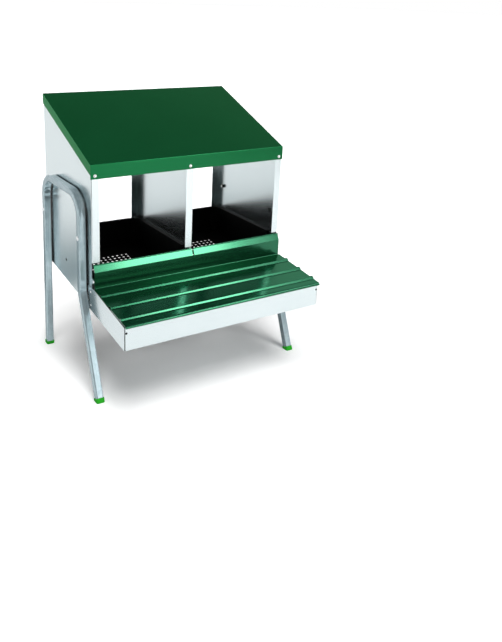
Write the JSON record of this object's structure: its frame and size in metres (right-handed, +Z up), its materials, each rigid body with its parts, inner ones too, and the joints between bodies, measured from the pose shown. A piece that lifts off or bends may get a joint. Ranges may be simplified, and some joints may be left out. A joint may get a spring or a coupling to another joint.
{
  "type": "chicken nesting box",
  "caption": "Roll-away hen nesting box on bent-tube legs, with a sloping roof, basin nests side by side and a hinged lid over an egg tray.",
  "frame": {"origin": "on the ground, under the middle of the object's box", "axes": "+Z up, -Y towards the egg tray at the front, +X to the right seen from the front"},
  "size_m": [0.6532, 0.5546, 0.7631],
  "materials": {
    "galvanised_sheet": "galvanised",
    "green_paint": "gloss",
    "black_plastic": "satin",
    "green_plastic": "satin",
    "zinc_fastener": "zinc plated",
    "black_fastener": "blackened"
  },
  "bodies": {
    "frame": {"roof_panel": "green_paint", "left_side_panel": "galvanised_sheet", "right_side_panel": "galvanised_sheet", "centre_partition": "galvanised_sheet", "rear_rail": "galvanised_sheet", "egg_tray": "galvanised_sheet", "left_hinge_pin": "zinc_fastener", "right_hinge_pin": "zinc_fastener", "left_nest_basin": "black_plastic", "right_nest_basin": "black_plastic", "left_nest_mat": "black_plastic", "right_nest_mat": "black_plastic", "left_leg_frame": "galvanised_sheet", "right_leg_frame": "galvanised_sheet", "front_left_foot_cap": "green_plastic", "rear_left_foot_cap": "green_plastic", "front_right_foot_cap": "green_plastic", "rear_right_foot_cap": "green_plastic", "leg_bolts": "zinc_fastener", "leg_spacers": "zinc_fastener", "leg_washers": "zinc_fastener", "leg_nuts": "black_fastener", "roof_screws": "zinc_fastener", "tray_rivets": "zinc_fastener", "tray_corner_rivets": "black_fastener", "rail_rivets": "zinc_fastener"},
    "lid": {"egg_tray_lid": "green_paint"}
  },
  "joints": [
    {"name": "lid_hinge", "type": "hinge", "parent": "frame", "child": "lid", "pos_m": [0, -0.0753, 0.3145], "axis": [-1, 0, 0], "range_deg": [0, 50]}
  ]
}
